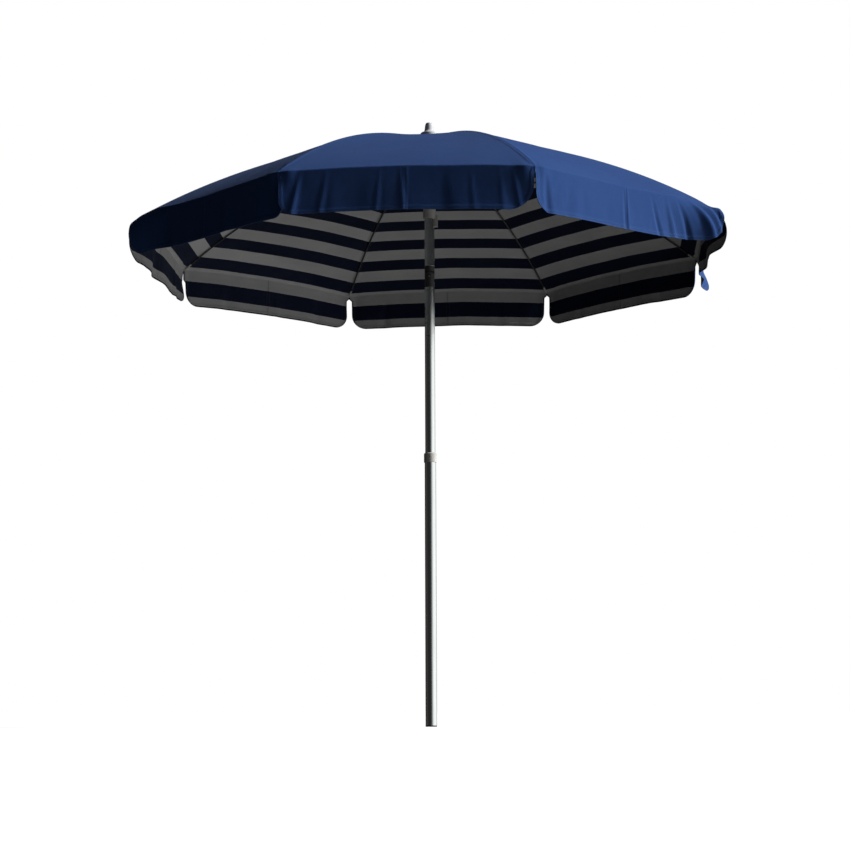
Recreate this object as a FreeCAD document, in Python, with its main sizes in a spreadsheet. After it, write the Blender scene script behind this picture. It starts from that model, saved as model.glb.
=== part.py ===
import FreeCAD, Part
import Sketcher
import os
import re

# Beach umbrella: a two-piece sliding pole, a tilt knuckle and an eight-rib canopy that opens
# and closes with a runner. Millimetres, +Z up, origin at the centre of the pole's foot.
# Everything is drawn open and upright. The ribs stand at 22.5, 67.5, ... degrees from +X,
# so the middles of four of the eight canopy panels face +X, -X, +Y and -Y.

DIMENSIONS = [
    # two-piece pole
    ("low_pole_radius", 19.0, "outside radius of the lower pole"),
    ("low_pole_wall", 1.2, "wall of the lower pole"),
    ("low_pole_top", 900.0, "height of the lower pole's open end"),
    ("low_neck_radius", 18.6, "outside radius of the lower pole's neck under the clamp collar"),
    ("low_neck_bottom", 874.5, "height of the shoulder that keeps the clamp collar from sliding down"),
    ("top_pole_radius", 17.0, "outside radius of the upper pole and the canopy pole"),
    ("top_pole_wall", 1.5, "wall of the upper pole and the canopy pole"),
    ("top_pole_bottom", 600.0, "height of the upper pole's lower end, inside the lower pole"),
    ("plug_gap", 0.05, "radial gap round every plug that is pushed into a tube"),
    ("margin", 1.0, "how far a cutter stands past the face that it cuts"),
    ("foot_rim", 4.0, "visible rim of the foot plug"),
    ("foot_depth", 34.0, "height of the foot plug's skirt inside the pole"),
    ("foot_skirt_wall", 3.0, "wall of the foot plug's skirt"),
    ("end_plug_rim", 4.0, "rim of the upper pole's end plug"),
    ("end_plug_depth", 24.0, "depth of the upper pole's end plug"),
    # guide bush and clamp collar
    ("slide_gap", 0.06, "radial running gap of the sliding fits"),
    ("bush_length", 40.0, "length of the guide bush in the lower pole's mouth"),
    ("bush_lip", 2.0, "lip of the guide bush on the lower pole's end"),
    ("collar_bottom", 875.0, "lower face of the clamp collar"),
    ("collar_top", 907.0, "upper face of the clamp collar"),
    ("collar_radius", 21.3, "outside radius of the clamp collar"),
    ("collar_chamfer", 3.5, "chamfer of the clamp collar's upper edge"),
    ("collar_roof", 3.5, "thickness of the clamp collar's roof"),
    ("screw_radius", 2.5, "radius of the collar's locking screw"),
    ("screw_socket", 1.25, "radius of the socket in the locking screw"),
    ("screw_socket_deep", 1.2, "depth of the socket in the locking screw"),
    ("screw_height", 893.0, "height of the locking screw"),
    # tilt knuckle
    ("knuckle_bottom", 1471.0, "lower end of the tilt knuckle"),
    ("knuckle_top", 1544.0, "upper end of the tilt knuckle"),
    ("tilt_height", 1507.5, "height of the tilt pin"),
    ("knuckle_plug", 36.0, "depth of each half of the knuckle inside its tube"),
    ("ear_radius", 16.5, "rounding of the fork's ears and the tongue about the tilt pin"),
    ("ear_reach", 18.0, "distance from the tilt pin to the solid part of the fork or tongue"),
    ("tongue_half", 6.0, "half the thickness of the tongue"),
    ("tongue_gap", 0.3, "side gap between the tongue and each ear"),
    ("tilt_pin_radius", 3.0, "radius of the tilt pin"),
    ("tilt_pin_half", 16.4, "half the length of the tilt pin"),
    ("pin_gap", 0.05, "radial running gap round hinge pins"),
    ("hinge_gap", 0.2, "side gap between a lever or bar and the cheeks that hold it"),
    ("button_radius", 4.1, "radius of the tilt button"),
    ("button_gap", 0.08, "radial gap round the tilt button"),
    ("button_height", 1480.0, "height of the tilt button"),
    ("button_face", 16.4, "distance of the button's face from the pole's axis"),
    ("button_length", 7.0, "length of the tilt button"),
    ("button_hole_end", 3.0, "distance of the button hole's floor from the pole's axis"),
    ("spring_wall", 0.5, "wall of the bellows spring behind the button"),
    ("spring_radius", 3.7, "outside radius of the bellows spring"),
    ("spring_fold", 1.1, "depth of the bellows spring's folds"),
    ("spring_steps", 6.0, "number of slopes along the bellows spring"),
    ("spring_gap", 0.05, "gap at each end of the bellows spring"),
    # canopy pole, crown and finial
    ("canopy_pole_top", 1950.0, "upper end of the canopy pole"),
    ("rib_pivot_radius", 31.0, "distance of the rib pivots from the pole's axis"),
    ("rib_pivot_height", 1962.0, "height of the rib pivots"),
    ("crown_skirt", 1932.0, "lower edge of the crown's sleeve"),
    ("crown_sleeve_radius", 21.0, "outside radius of the crown's sleeve"),
    ("crown_radius", 35.0, "outside radius of the crown's notched flange"),
    ("crown_flange_half", 4.5, "half the height of the crown's notched flange"),
    ("crown_neck_radius", 23.0, "radius of the crown's top"),
    ("crown_taper", 2.0, "height of the taper under the crown's flange"),
    ("crown_top", 1974.0, "top face of the crown"),
    ("stud_radius", 4.0, "radius of the finial's stud"),
    ("stud_depth", 18.0, "depth of the finial's stud in the crown"),
    ("ring_wire", 1.0, "radius of the wire ring that the ribs hang on"),
    ("notch_width", 3.4, "width of the notches in the crown and the runner"),
    ("notch_floor", 26.5, "distance of the notches' floor from the pole's axis"),
    ("notch_reach", 20.0, "length of a notch's cutter, from the notch's floor outwards"),
    ("patch_radius", 60.0, "radius of the cloth patch over the crown"),
    ("patch_rise", 6.5, "height of the patch's underside above the cloth at the crown"),
    ("patch_drop", 8.0, "fall of the patch from its middle to its edge"),
    ("patch_thick", 1.0, "thickness of the cloth patch"),
    ("finial_base", 1988.0, "height of the finial's underside"),
    ("finial_radius", 30.0, "radius of the finial's flared base"),
    ("finial_shoulder", 2010.0, "height of the top of the finial's flare"),
    ("finial_neck", 15.5, "radius of the finial above its flare"),
    ("finial_waist", 8.0, "height above the flare at which the finial narrows to its neck"),
    ("finial_tip", 11.0, "radius of the finial just under its top"),
    ("finial_edge", 2.0, "bevel of the finial's flare"),
    ("finial_brow", 9.0, "height of the finial's rounded top"),
    ("finial_top", 2047.0, "height of the top of the finial"),
    # ribs and stretchers
    ("rib_count", 8.0, "number of ribs"),
    ("rib_radius", 2.5, "radius of a rib"),
    ("rib_end_radius", 986.0, "distance of a rib's outer end from the pole's axis"),
    ("rib_end_height", 1637.0, "height of a rib's outer end"),
    ("rib_rise", 64.0, "rise of the bent rib above its chord"),
    ("eye_radius", 3.2, "radius of the flat eyes"),
    ("eye_thick", 3.0, "thickness of the flat eyes and of the stretchers"),
    ("eye_hole", 1.08, "radius of the hole in an eye that hangs on the wire ring"),
    ("eye_reach", 10.0, "distance from a rib's pivot to the round part of the rib"),
    ("strap_lap", 6.0, "length of the flat strap that laps the round part of the rib"),
    ("strap_height", 4.4, "height of the flat strap between a rib's eye and its round part"),
    ("tip_radius", 3.5, "radius of the cap on a rib's end"),
    ("tip_length", 26.0, "length of the rib inside the cap on its end"),
    ("tip_wall", 0.5, "end wall of the cap before its round nose"),
    ("sleeve_gap", 0.1, "radial gap round a rib in its cap and in its clip"),
    ("clip_station", 424.0, "distance along a rib from its pivot to its clip"),
    ("clip_length", 26.0, "length of the clip"),
    ("clip_width", 9.0, "width of the clip"),
    ("clip_up", 4.0, "height of the clip above the middle of the rib"),
    ("clip_down", 4.5, "depth of the clip below the middle of the rib"),
    ("hinge_drop", 8.0, "distance of the stretcher's rivet below the middle of the rib"),
    ("cheek_thick", 1.8, "thickness of the clip's two cheeks"),
    ("cheek_lap", 0.5, "height by which the cheeks run into the clip's block"),
    ("rivet_radius", 1.5, "radius of the stretcher's rivet"),
    ("rivet_half", 4.4, "half the length of the stretcher's rivet"),
    ("stretcher_half", 3.0, "half the height of a stretcher's section"),
    ("groove_width", 1.4, "width of the groove under a stretcher"),
    ("groove_deep", 3.4, "depth of the groove under a stretcher"),
    ("groove_inset", 16.0, "distance from a stretcher's hole to the end of its groove"),
    # runner and latch
    ("runner_bottom", 1709.6, "lower edge of the runner"),
    ("runner_radius", 21.3, "outside radius of the runner's sleeve"),
    ("runner_gap", 0.08, "radial running gap between the runner and the pole"),
    ("runner_flange", 35.5, "outside radius of the runner's notched flange"),
    ("runner_flange_half", 6.0, "half the height of the runner's notched flange"),
    ("runner_taper", 6.0, "height of the taper under the runner's flange"),
    ("runner_brim", 3.0, "height of the cone on top of the runner's flange"),
    ("latch_x", 24.8, "distance of the latch pin from the pole's axis"),
    ("latch_height", 1716.0, "height of the latch pin"),
    ("latch_eye", 3.0, "rounding of the latch lever about its pin"),
    ("latch_half", 3.0, "half the thickness of the latch lever at its pin"),
    ("latch_foot_half", 5.0, "half the width of the latch lever's foot"),
    ("latch_foot_low", 1681.0, "lower end of the latch lever"),
    ("latch_foot_high", 1706.0, "upper end of the latch lever's foot"),
    ("latch_inside", 17.3, "distance of the latch lever's nose from the pole's axis"),
    ("latch_outside", 28.5, "distance of the latch lever's outer face from the pole's axis"),
    ("latch_pin_radius", 1.5, "radius of the latch pin"),
    ("lug_thick", 2.2, "thickness of the runner's two latch lugs"),
    ("lug_outside", 28.3, "distance of the lugs' outer edge from the pole's axis"),
    ("lug_top", 1722.0, "upper end of the latch lugs"),
    # canopy cloth
    ("rim_reach", 1000.0, "distance of the canopy's corners from the pole's axis"),
    ("rim_height", 1636.6, "height of the canopy's rim"),
    ("cloth_top", 1980.0, "height of the cloth beside the crown"),
    ("cloth_inner", 31.0, "distance from the pole's axis at which the cloth starts"),
    ("cloth_rise", 59.0, "rise of the cloth above its chord along a panel's middle"),
    ("cloth_thick", 1.0, "thickness of the cloth"),
    ("seam_angle", 0.01, "degrees left out at a panel's middle, where two sections meet"),
    ("valance_drop", 134.0, "height of the hanging valance"),
    ("corner_cut", 44.0, "size of the cut corner of the valance at each rib"),
]

DERIVED = [
    ("half_gore", "App::PropertyAngle", "180 deg / rib_count"),
    # a rib's middle line is an arc from the pivot to the rib's end, bent upwards
    ("rib_fall", "App::PropertyAngle",
     "atan((rib_pivot_height - rib_end_height) / (rib_end_radius - rib_pivot_radius))"),
    ("rib_chord", "App::PropertyFloat", "(rib_end_radius - rib_pivot_radius) / cos(rib_fall)"),
    ("rib_bend", "App::PropertyFloat", "(rib_chord^2 / 4 + rib_rise^2) / (2 * rib_rise)"),
    ("rib_half_turn", "App::PropertyAngle", "asin(rib_chord / 2 / rib_bend)"),
    ("rib_centre_x", "App::PropertyFloat",
     "(rib_pivot_radius + rib_end_radius) / 2 - sin(rib_fall) * (rib_bend - rib_rise)"),
    ("rib_centre_z", "App::PropertyFloat",
     "(rib_pivot_height + rib_end_height) / 2 - cos(rib_fall) * (rib_bend - rib_rise)"),
    ("rib_end_angle", "App::PropertyAngle", "90 deg - rib_fall - rib_half_turn"),
    ("rib_pivot_angle", "App::PropertyAngle", "90 deg - rib_fall + rib_half_turn"),
    # the stretcher's rivet, and the runner's pivots straight below the crown's
    ("clip_angle", "App::PropertyAngle", "rib_pivot_angle - clip_station / rib_bend * 1 rad"),
    ("hinge_x", "App::PropertyFloat", "rib_centre_x + (rib_bend - hinge_drop) * cos(clip_angle)"),
    ("hinge_z", "App::PropertyFloat", "rib_centre_z + (rib_bend - hinge_drop) * sin(clip_angle)"),
    ("runner_pivot_height", "App::PropertyFloat", "2 * hinge_z - rib_pivot_height"),
    ("stretcher_fall", "App::PropertyAngle",
     "atan((hinge_z - runner_pivot_height) / (hinge_x - rib_pivot_radius))"),
    ("stretcher_length", "App::PropertyFloat", "(hinge_x - rib_pivot_radius) / cos(stretcher_fall)"),
    # the cloth along a panel's middle is an arc too, from beside the crown to the rim
    ("rim_middle", "App::PropertyFloat", "rim_reach * cos(half_gore)"),
    ("cloth_start", "App::PropertyFloat", "cloth_inner * cos(half_gore)"),
    ("cloth_fall", "App::PropertyAngle",
     "atan((cloth_top - rim_height) / (rim_middle - cloth_start))"),
    ("cloth_chord", "App::PropertyFloat", "(rim_middle - cloth_start) / cos(cloth_fall)"),
    ("cloth_bend", "App::PropertyFloat", "(cloth_chord^2 / 4 + cloth_rise^2) / (2 * cloth_rise)"),
    ("cloth_centre_x", "App::PropertyFloat",
     "(cloth_start + rim_middle) / 2 - sin(cloth_fall) * (cloth_bend - cloth_rise)"),
    ("cloth_centre_z", "App::PropertyFloat",
     "(cloth_top + rim_height) / 2 - cos(cloth_fall) * (cloth_bend - cloth_rise)"),
]

doc = FreeCAD.newDocument("beach_umbrella")
dims = doc.addObject("Spreadsheet::Sheet", "dims")
for row, (alias, size, meaning) in enumerate(DIMENSIONS, start=1):
    dims.set(f"A{row}", meaning)
    dims.set(f"B{row}", str(size))
    dims.setAlias(f"B{row}", alias)
doc.recompute()

ALIASES = {alias for alias, _, _ in DIMENSIONS}
LAYOUT_NAMES = {name for name, _, _ in DERIVED}
layout = doc.addObject("App::FeaturePython", "layout")


def bound(expression):
    """An expression with each dimension's name pointing at the sheet or the layout object."""
    def full(match):
        word = match.group(0)
        if word in ALIASES:
            return "dims." + word
        if word in LAYOUT_NAMES:
            return "layout." + word
        return word
    return re.sub(r"[A-Za-z_][A-Za-z0-9_]*", full, str(expression))


for name, kind, expression in DERIVED:
    layout.addProperty(kind, name)
    layout.setExpression(name, bound(expression))
doc.recompute()


def value(expression):
    """The number that an expression has now."""
    found = dims.evalExpression(bound(expression))
    return float(getattr(found, "Value", found))


def bind(item, **sizes):
    """Bind properties of a document object to expressions."""
    for prop, expression in sizes.items():
        item.setExpression(prop, bound(expression))
    return item


def place(item, x=0, y=0, z=0, turn="rotation(vector(0; 0; 1); 0)"):
    """Bind a placement to expressions for its position and its rotation."""
    item.setExpression("Placement", bound(f"placement(vector({x}; {y}; {z}); {turn})"))
    return item


ALONG_Y = "rotation(vector(1; 0; 0); -90)"
ALONG_X = "rotation(vector(0; 1; 0); 90)"


def cylinder(name, radius, height, x=0, y=0, z=0, turn="rotation(vector(0; 0; 1); 0)", angle=360):
    item = doc.addObject("Part::Cylinder", name)
    bind(item, Radius=radius, Height=height, Angle=angle)
    return place(item, x, y, z, turn)


def cross_pin(name, radius, half, x, z):
    """A cylinder along Y, centred on the plane y = 0."""
    return cylinder(name, radius, f"2 * ({half})", x, f"-({half})", z, ALONG_Y)


def box(name, x0, x1, y0, y1, z0, z1):
    """A box between two corners, along the axes."""
    item = doc.addObject("Part::Box", name)
    bind(item, Length=f"({x1}) - ({x0})", Width=f"({y1}) - ({y0})", Height=f"({z1}) - ({z0})")
    return place(item, x0, y0, z0)


def cut(name, base, tool):
    item = doc.addObject("Part::Cut", name)
    item.Base = base
    item.Tool = tool
    return item


def fuse(name, *shapes):
    item = doc.addObject("Part::MultiFuse", name)
    item.Shapes = list(shapes)
    item.Refine = True
    return item


def common(name, one, other):
    item = doc.addObject("Part::Common", name)
    item.Base = one
    item.Tool = other
    return item


def origin_feature(body, role):
    return next(f for f in body.Origin.OriginFeatures if f.Role == role)


def turned_body(name, profile):
    """A PartDesign body: a closed profile of (radius, height) points, revolved about Z."""
    body = doc.addObject("PartDesign::Body", name)
    sketch = body.newObject("Sketcher::SketchObject", name + "_profile")
    sketch.AttachmentSupport = [(origin_feature(body, "XZ_Plane"), "")]
    sketch.MapMode = "FlatFace"
    corners = [FreeCAD.Vector(value(r), value(z), 0) for r, z in profile]
    count = len(corners)
    for i in range(count):
        sketch.addGeometry(Part.LineSegment(corners[i], corners[(i + 1) % count]), False)
    for i in range(count):
        sketch.addConstraint(Sketcher.Constraint("Coincident", i, 2, (i + 1) % count, 1))
    for i, (radius, height) in enumerate(profile):
        for kind, size in (("DistanceX", radius), ("DistanceY", height)):
            if value(size) == 0:
                axis = -2 if kind == "DistanceX" else -1
                sketch.addConstraint(Sketcher.Constraint("PointOnObject", i, 1, axis))
                continue
            index = sketch.addConstraint(
                Sketcher.Constraint(kind, -1, 1, i, 1, value(size)))
            sketch.setExpression(f"Constraints[{index}]", bound(size))
    revolution = body.newObject("PartDesign::Revolution", name + "_revolution")
    revolution.Profile = sketch
    revolution.ReferenceAxis = (sketch, ["V_Axis"])
    revolution.Angle = 360
    sketch.Visibility = False
    return body


def notches(name, top, bottom):
    """Eight radial cutters, one at each rib, from the notch floor outwards."""
    cutters = []
    for number in range(int(value("rib_count"))):
        cutter = doc.addObject("Part::Box", f"{name}_{number + 1}")
        bind(cutter, Length="notch_reach", Width="notch_width", Height=f"({top}) - ({bottom})")
        turn = f"rotation(vector(0; 0; 1); {2 * number + 1} * half_gore)"
        spin = f"placement(vector(0; 0; 0); {turn})"
        seat = f"placement(vector(notch_floor; -notch_width / 2; {bottom}); rotation(vector(0; 0; 1); 0))"
        cutter.setExpression("Placement", bound(f"{spin} * {seat}"))
        cutters.append(cutter)
    return fuse(name, *cutters)


SUB_PARTS = []


def sub_part(item, label):
    """Name a finished piece and put it on the list of pieces to write."""
    item.Label = label
    SUB_PARTS.append(item)
    return item


# ---------------------------------------------------------------- two-piece pole

low_bore = "low_pole_radius - low_pole_wall"
top_bore = "top_pole_radius - top_pole_wall"
top_plug = "top_pole_radius - top_pole_wall - plug_gap"


def make_lower_pole():
    tube = turned_body("LowerPole", [
        (low_bore, "foot_rim"),
        ("low_pole_radius", "foot_rim"),
        ("low_pole_radius", "low_neck_bottom"),
        ("low_neck_radius", "low_neck_bottom"),
        ("low_neck_radius", "low_pole_top"),
        (low_bore, "low_pole_top"),
    ])
    sub_part(tube, "lower_pole")
    skirt = f"{low_bore} - plug_gap"
    plug = turned_body("FootPlug", [
        (0, 0),
        ("low_pole_radius", 0),
        ("low_pole_radius", "foot_rim"),
        (skirt, "foot_rim"),
        (skirt, "foot_depth"),
        (f"{skirt} - foot_skirt_wall", "foot_depth"),
        (f"{skirt} - foot_skirt_wall", "2 * foot_rim"),
        (0, "2 * foot_rim"),
    ])
    sub_part(plug, "foot_plug")


def make_guide_bush():
    bore = "top_pole_radius + slide_gap"
    outside = f"{low_bore} - plug_gap"
    bush = turned_body("GuideBush", [
        (bore, "low_pole_top - bush_length"),
        (outside, "low_pole_top - bush_length"),
        (outside, "low_pole_top"),
        ("low_pole_radius - low_pole_wall / 2", "low_pole_top"),
        ("low_pole_radius - low_pole_wall / 2", "low_pole_top + bush_lip"),
        (bore, "low_pole_top + bush_lip"),
    ])
    sub_part(bush, "guide_bush")


def make_clamp_collar():
    bore = "low_neck_radius + slide_gap"
    ring = turned_body("CollarBlank", [
        (bore, "collar_bottom"),
        ("collar_radius", "collar_bottom"),
        ("collar_radius", "collar_top - collar_chamfer"),
        ("collar_radius - collar_chamfer", "collar_top"),
        ("top_pole_radius + 2 * slide_gap", "collar_top"),
        ("top_pole_radius + 2 * slide_gap", "collar_top - collar_roof"),
        (bore, "collar_top - collar_roof"),
    ])
    hole = cylinder("ScrewHole", "screw_radius + plug_gap", "low_pole_radius / 2",
                    0, "-collar_radius - margin", "screw_height", ALONG_Y)
    sub_part(cut("ClampCollar", ring, hole), "clamp_collar")
    shank = cylinder("ScrewShank", "screw_radius", "collar_radius - low_neck_radius - 2 * slide_gap",
                     0, "-collar_radius", "screw_height", ALONG_Y)
    socket = cylinder("ScrewSocket", "screw_socket", "screw_socket_deep + margin",
                      0, "-collar_radius - margin", "screw_height", ALONG_Y)
    sub_part(cut("CollarScrew", shank, socket), "collar_screw")


def make_upper_pole():
    tube = turned_body("UpperPole", [
        (top_bore, "top_pole_bottom"),
        ("top_pole_radius", "top_pole_bottom"),
        ("top_pole_radius", "knuckle_bottom"),
        (top_bore, "knuckle_bottom"),
    ])
    sub_part(tube, "upper_pole")
    plug = turned_body("UpperPolePlug", [
        (0, "top_pole_bottom - end_plug_rim"),
        ("top_pole_radius", "top_pole_bottom - end_plug_rim"),
        ("top_pole_radius", "top_pole_bottom"),
        (top_plug, "top_pole_bottom"),
        (top_plug, "top_pole_bottom + end_plug_depth"),
        (0, "top_pole_bottom + end_plug_depth"),
    ])
    sub_part(plug, "upper_pole_plug")


# ---------------------------------------------------------------- tilt knuckle


past = "top_pole_radius + margin"


def make_tilt_fork():
    blank = turned_body("ForkBlank", [
        (0, "knuckle_bottom - knuckle_plug"),
        (top_plug, "knuckle_bottom - knuckle_plug"),
        (top_plug, "knuckle_bottom"),
        ("top_pole_radius", "knuckle_bottom"),
        ("top_pole_radius", "tilt_height + ear_radius"),
        (0, "tilt_height + ear_radius"),
    ])
    round_top = cross_pin("EarRound", "ear_radius", past, 0, "tilt_height")
    block = box("EarBlock", "-ear_radius", "ear_radius", f"-({past})",
                past, "tilt_height - ear_reach", "tilt_height")
    base = box("ForkBase", f"-({past})", past, f"-({past})", past,
               "knuckle_bottom - knuckle_plug - margin", "tilt_height - ear_reach")
    outline = fuse("ForkOutline", round_top, block, base)
    shaped = common("ForkShaped", blank, outline)
    slot = box("ForkSlot", f"-({past})", past,
               "-tongue_half - tongue_gap", "tongue_half + tongue_gap",
               "tilt_height - ear_reach", "tilt_height + ear_radius + margin")
    slotted = cut("ForkSlotted", shaped, slot)
    pin_hole = cross_pin("ForkPinHole", "tilt_pin_radius + plug_gap", past,
                         0, "tilt_height")
    button_hole = cylinder("ButtonHole", "button_radius + button_gap",
                           "top_pole_radius + margin - button_hole_end",
                           0, f"-({past})", "button_height", ALONG_Y)
    holes = fuse("ForkHoles", pin_hole, button_hole)
    sub_part(cut("TiltFork", slotted, holes), "tilt_fork")
    sub_part(cross_pin("TiltPin", "tilt_pin_radius", "tilt_pin_half", 0, "tilt_height"), "tilt_pin")


def make_tilt_button():
    button = cylinder("TiltButton", "button_radius", "button_length",
                      0, "-button_face", "button_height", ALONG_Y)
    sub_part(button, "tilt_button")
    length = "(button_face - button_length - button_hole_end - 2 * spring_gap)"
    outside = []
    inside = []
    for step in range(int(value("spring_steps")) + 1):
        radius = f"spring_radius - {step % 2} * spring_fold"
        height = f"{length} * {step} / spring_steps"
        outside.append((radius, height))
        inside.append((f"{radius} - spring_wall", height))
    spring = turned_body("ButtonSpring", outside + inside[::-1])
    place(spring, 0, "-button_face + button_length + spring_gap", "button_height", ALONG_Y)
    sub_part(spring, "button_spring")


def make_tilt_tongue():
    blank = turned_body("TongueBlank", [
        (0, "tilt_height - ear_radius"),
        ("top_pole_radius", "tilt_height - ear_radius"),
        ("top_pole_radius", "knuckle_top"),
        (top_plug, "knuckle_top"),
        (top_plug, "knuckle_top + knuckle_plug"),
        (0, "knuckle_top + knuckle_plug"),
    ])
    round_end = cross_pin("TongueRound", "ear_radius", "tongue_half", 0, "tilt_height")
    web = box("TongueWeb", "-ear_radius", "ear_radius", "-tongue_half", "tongue_half",
              "tilt_height", "tilt_height + ear_reach")
    top = box("TongueTop", f"-({past})", past, f"-({past})", past,
              "tilt_height + ear_reach", "knuckle_top + knuckle_plug + margin")
    outline = fuse("TongueOutline", round_end, web, top)
    shaped = common("TongueShaped", blank, outline)
    pin_hole = cross_pin("TonguePinHole", "tilt_pin_radius + pin_gap", "top_pole_radius",
                         0, "tilt_height")
    sub_part(cut("TiltTongue", shaped, pin_hole), "tilt_tongue")


# ---------------------------------------------------------------- canopy pole, crown, finial


def make_canopy_pole():
    tube = turned_body("CanopyPole", [
        (top_bore, "knuckle_top"),
        ("top_pole_radius", "knuckle_top"),
        ("top_pole_radius", "canopy_pole_top"),
        (top_bore, "canopy_pole_top"),
    ])
    sub_part(tube, "canopy_pole")


def make_crown():
    flange_low = "rib_pivot_height - crown_flange_half"
    flange_high = "rib_pivot_height + crown_flange_half"
    blank = turned_body("CrownBlank", [
        ("top_pole_radius + plug_gap", "crown_skirt"),
        ("crown_sleeve_radius", "crown_skirt"),
        ("crown_sleeve_radius", f"{flange_low} - crown_taper"),
        ("crown_neck_radius", flange_low),
        ("crown_radius", flange_low),
        ("crown_radius", flange_high),
        ("crown_neck_radius", "crown_top"),
        ("stud_radius + plug_gap", "crown_top"),
        ("stud_radius + plug_gap", "canopy_pole_top"),
        ("top_pole_radius + plug_gap", "canopy_pole_top"),
    ])
    slots = notches("CrownNotches", "crown_top + margin", f"{flange_low} - crown_taper - margin")
    groove = doc.addObject("Part::Torus", "RingGroove")
    bind(groove, Radius1="rib_pivot_radius", Radius2="ring_wire + plug_gap")
    place(groove, 0, 0, "rib_pivot_height")
    tools = fuse("CrownTools", slots, groove)
    sub_part(cut("Crown", blank, tools), "crown")
    ring = doc.addObject("Part::Torus", "CrownRing")
    bind(ring, Radius1="rib_pivot_radius", Radius2="ring_wire")
    place(ring, 0, 0, "rib_pivot_height")
    sub_part(ring, "crown_ring")


def make_crown_patch():
    middle = "cloth_top + patch_rise"
    patch = turned_body("CrownPatch", [
        ("stud_radius + plug_gap", middle),
        ("patch_radius", f"{middle} - patch_drop"),
        ("patch_radius", f"{middle} - patch_drop + patch_thick"),
        ("stud_radius + plug_gap", f"{middle} + patch_thick"),
    ])
    sub_part(patch, "crown_patch")


def make_finial():
    finial = turned_body("Finial", [
        (0, "crown_top - stud_depth"),
        ("stud_radius", "crown_top - stud_depth"),
        ("stud_radius", "finial_base"),
        ("finial_radius - finial_edge", "finial_base"),
        ("finial_radius", "finial_base + finial_edge"),
        ("finial_radius", "finial_shoulder - finial_edge"),
        ("finial_radius - 2 * finial_edge", "finial_shoulder"),
        ("finial_neck + finial_edge", "finial_shoulder + finial_waist / 2"),
        ("finial_neck", "finial_shoulder + finial_waist"),
        ("finial_neck - finial_edge", "finial_top - finial_brow"),
        ("finial_tip", "finial_top - finial_brow / 3"),
        ("finial_tip / 2", "finial_top"),
        (0, "finial_top"),
    ])
    sub_part(finial, "finial")


# ---------------------------------------------------------------- runner and latch


def make_runner():
    bore = "top_pole_radius + runner_gap"
    flange_low = "runner_pivot_height - runner_flange_half"
    flange_high = "runner_pivot_height + runner_flange_half"
    blank = turned_body("RunnerBlank", [
        (bore, "runner_bottom"),
        ("runner_radius", "runner_bottom"),
        ("runner_radius", f"{flange_low} - runner_taper"),
        ("runner_flange", flange_low),
        ("runner_flange", flange_high),
        ("runner_radius + runner_brim", f"{flange_high} + runner_brim"),
        (bore, f"{flange_high} + runner_brim"),
    ])
    slots = notches("RunnerNotches", f"{flange_high} + runner_brim + margin",
                    f"{flange_low} - runner_taper - margin")
    notched = cut("RunnerNotched", blank, slots)
    inner = "latch_half + hinge_gap"
    lugs = []
    for side, low, high in (("Front", f"-({inner}) - lug_thick", f"-({inner})"),
                            ("Back", inner, f"{inner} + lug_thick")):
        lugs.append(box(f"Lug{side}", "runner_radius - lug_thick", "lug_outside", low, high,
                        "runner_bottom", "lug_top"))
    body = fuse("RunnerBody", notched, *lugs)
    hole = cross_pin("LugHole", "latch_pin_radius + plug_gap", "latch_half + lug_thick + margin",
                     "latch_x", "latch_height")
    sub_part(cut("Runner", body, hole), "runner")
    sub_part(cross_pin("LatchPin", "latch_pin_radius", "latch_half + hinge_gap + lug_thick",
                       "latch_x", "latch_height"), "latch_pin")


def make_latch_lever():
    """A lever under the runner's edge. Its nose faces the pole and its foot is the thumb pad."""
    eye = cross_pin("LatchEye", "latch_eye", "latch_half", "latch_x", "latch_height")
    arm = box("LatchArm", "latch_x - latch_eye", "latch_x + latch_eye",
              "-latch_half", "latch_half", "latch_foot_high - margin", "latch_height")
    foot = box("LatchFoot", "latch_inside", "latch_outside", "-latch_foot_half",
               "latch_foot_half", "latch_foot_low", "latch_foot_high")
    lever = fuse("LatchBlank", eye, arm, foot)
    hole = cross_pin("LatchHole", "latch_pin_radius + pin_gap", "latch_half + margin",
                     "latch_x", "latch_height")
    sub_part(cut("LatchLever", lever, hole), "latch_lever")


# ---------------------------------------------------------------- ribs and stretchers
# Each repeated piece is drawn once, for a rib along +X, and then placed at every rib.


def on_rib(angle):
    """Placement at an angle on the rib's arc: local X runs along the rib, outwards, and local Z
    points away from the arc's centre."""
    return bound(f"placement(vector(rib_centre_x + rib_bend * cos({angle}); 0; "
                 f"rib_centre_z + rib_bend * sin({angle})); "
                 f"rotation(vector(0; 1; 0); 90 deg - ({angle})))")


def draw_rib():
    rod = doc.addObject("Part::Torus", "RibRod")
    bind(rod, Radius1="rib_bend", Radius2="rib_radius",
         Angle3="2 * rib_half_turn - eye_reach / rib_bend * 1 rad")
    place(rod, "rib_centre_x", 0, "rib_centre_z",
          "rotation(vector(1; 0; 0); 90) * rotation(vector(0; 0; 1); rib_end_angle)")
    eye = cross_pin("RibEye", "eye_radius", "eye_thick / 2", "rib_pivot_radius", "rib_pivot_height")
    strap = doc.addObject("Part::Box", "RibStrap")
    bind(strap, Length="eye_reach + strap_lap", Width="eye_thick", Height="strap_height")
    seat = ("placement(vector(rib_pivot_radius; 0; rib_pivot_height); "
            "rotation(vector(0; 1; 0); 90 deg - rib_pivot_angle))")
    shift = "placement(vector(0; -eye_thick / 2; -strap_height / 2); rotation(vector(0; 0; 1); 0))"
    strap.setExpression("Placement", bound(f"{seat} * {shift}"))
    blank = fuse("RibBlank", rod, eye, strap)
    hole = cross_pin("RibEyeHole", "eye_hole", "eye_thick", "rib_pivot_radius", "rib_pivot_height")
    return cut("RibMaster", blank, hole)


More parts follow.
